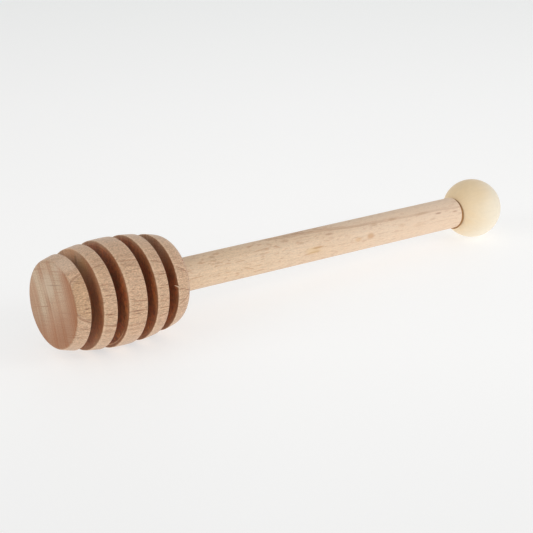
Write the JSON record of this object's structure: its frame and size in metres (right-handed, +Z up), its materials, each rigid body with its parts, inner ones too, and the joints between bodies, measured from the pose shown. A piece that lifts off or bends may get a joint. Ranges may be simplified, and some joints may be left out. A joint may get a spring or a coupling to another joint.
{
  "type": "honey dipper",
  "caption": "Turned wooden honey dipper with a bowed, grooved head, a straight dowel handle and a smooth ball on its end.",
  "frame": {"origin": "middle of the part's box, on the surface that it lies on", "axes": "+X along the handle from the grooved head to the ball, +Z up from the surface; the part lies on its fattest discs and its ball, so its own axis slopes down 2.4 degrees towards +X"},
  "size_m": [0.1722, 0.031, 0.0311],
  "materials": {
    "beech_head": "bare beech, fine sanded, matte",
    "beech_dowel": "bare beech, fine sanded, matte",
    "pale_ball": "bare close-grained hardwood, sanded smooth, soft sheen"
  },
  "bodies": {
    "root": {"dipper_head": "beech_head", "handle_dowel": "beech_dowel", "ball_knob": "pale_ball"}
  },
  "joints": []
}
